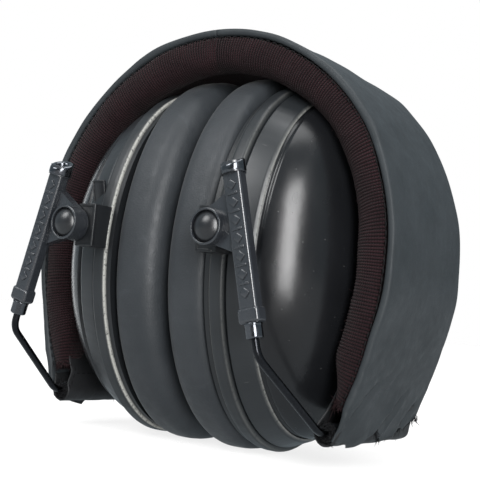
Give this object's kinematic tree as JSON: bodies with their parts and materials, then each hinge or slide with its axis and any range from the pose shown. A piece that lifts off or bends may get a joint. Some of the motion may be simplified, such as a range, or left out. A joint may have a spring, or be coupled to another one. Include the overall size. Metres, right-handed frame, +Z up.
{
  "type": "folding earmuff hearing protector",
  "caption": "Folding earmuff hearing protector: padded spring headband, wire bails with slider arms, and two cushioned ear cups folded inside the band.",
  "frame": {"origin": "on the surface that the folded earmuff stands on, under the middle of its bounding box", "axes": "+Z up through the crown of the headband, +X towards the right cup along the line between the cups, -Y to the front"},
  "size_m": [0.1108, 0.0922, 0.1069],
  "materials": {
    "cover_vinyl": "matte black vinyl with a fine grain",
    "liner_knit": "dark maroon ribbed knit",
    "pad_foam": "open-cell foam",
    "cushion_skin": "soft matte black vinyl",
    "spring_steel": "blued spring steel",
    "steel": "plain steel",
    "black_wire": "glossy black coated wire",
    "arm_plastic": "moulded black plastic, satin",
    "rim_plastic": "moulded black plastic, satin",
    "button_plastic": "polished black plastic",
    "shell_plastic": "glossy black plastic"
  },
  "bodies": {
    "headband": {"crown_cover": "cover_vinyl", "crown_spring_strip": "spring_steel", "crown_liner": "liner_knit", "crown_band_foam": "pad_foam"},
    "left_band": {"left_cover": "cover_vinyl", "left_spring_strip": "spring_steel", "left_strip_rivets": "steel", "left_liner": "liner_knit", "left_band_foam": "pad_foam", "left_hinge_sleeve": "steel", "left_end_tab": "cover_vinyl"},
    "left_bail": {"left_bail_wire": "black_wire"},
    "left_arms": {"left_front_arm": "arm_plastic", "left_rear_arm": "arm_plastic", "left_wire_ferrules": "steel"},
    "left_cup": {"left_pivot_pins": "steel", "left_pivot_caps": "button_plastic", "left_cup_shell": "shell_plastic", "left_cup_rim": "rim_plastic", "left_snap_ring": "rim_plastic", "left_ear_cushion": "cushion_skin", "left_foam_insert": "pad_foam", "left_pivot_lugs": "rim_plastic"},
    "right_band": {"right_cover": "cover_vinyl", "right_spring_strip": "spring_steel", "right_strip_rivets": "steel", "right_liner": "liner_knit", "right_band_foam": "pad_foam", "right_hinge_sleeve": "steel", "right_end_tab": "cover_vinyl"},
    "right_bail": {"right_bail_wire": "black_wire"},
    "right_arms": {"right_front_arm": "arm_plastic", "right_rear_arm": "arm_plastic", "right_wire_ferrules": "steel"},
    "right_cup": {"right_pivot_pins": "steel", "right_pivot_caps": "button_plastic", "right_cup_shell": "shell_plastic", "right_cup_rim": "rim_plastic", "right_snap_ring": "rim_plastic", "right_ear_cushion": "cushion_skin", "right_foam_insert": "pad_foam", "right_pivot_lugs": "rim_plastic"}
  },
  "joints": [
    {"name": "left_flex", "type": "hinge", "parent": "headband", "child": "left_band", "pos_m": [-0.04244, 0, 0.08711], "axis": [0, 1, 0], "range_deg": [0, 12]},
    {"name": "left_fold", "type": "hinge", "parent": "left_band", "child": "left_bail", "pos_m": [-0.0415, 0, 0.009], "axis": [0, 1, 0], "range_deg": [0, 150], "deforming": ["left_ear_cushion", "right_ear_cushion"]},
    {"name": "left_height", "type": "slide", "parent": "left_bail", "child": "left_arms", "axis": [0.2588, 0, 0.9659], "range_m": [0, 0.018]},
    {"name": "left_turn", "type": "hinge", "parent": "left_arms", "child": "left_cup", "pos_m": [-0.02161, 0, 0.05233], "axis": [0, -1, 0], "range_deg": [0, 162]},
    {"name": "right_flex", "type": "hinge", "parent": "headband", "child": "right_band", "pos_m": [0.04244, 0, 0.08711], "axis": [0, -1, 0], "range_deg": [0, 12]},
    {"name": "right_fold", "type": "hinge", "parent": "right_band", "child": "right_bail", "pos_m": [0.0415, 0, 0.009], "axis": [0, -1, 0], "range_deg": [0, 150], "deforming": ["left_ear_cushion", "right_ear_cushion"]},
    {"name": "right_height", "type": "slide", "parent": "right_bail", "child": "right_arms", "axis": [-0.2588, 0, 0.9659], "range_m": [0, 0.018]},
    {"name": "right_turn", "type": "hinge", "parent": "right_arms", "child": "right_cup", "pos_m": [0.02161, 0, 0.05233], "axis": [0, 1, 0], "range_deg": [0, 162]}
  ],
  "couplings": [
    {"joint": "left_flex", "follows": "left_fold", "ratio": 0.08},
    {"joint": "left_height", "follows": "left_fold", "m_per_rad": 0.0068755},
    {"joint": "left_turn", "follows": "left_fold", "ratio": 1.08},
    {"joint": "right_flex", "follows": "right_fold", "ratio": 0.08},
    {"joint": "right_height", "follows": "right_fold", "m_per_rad": 0.0068755},
    {"joint": "right_turn", "follows": "right_fold", "ratio": 1.08}
  ]
}
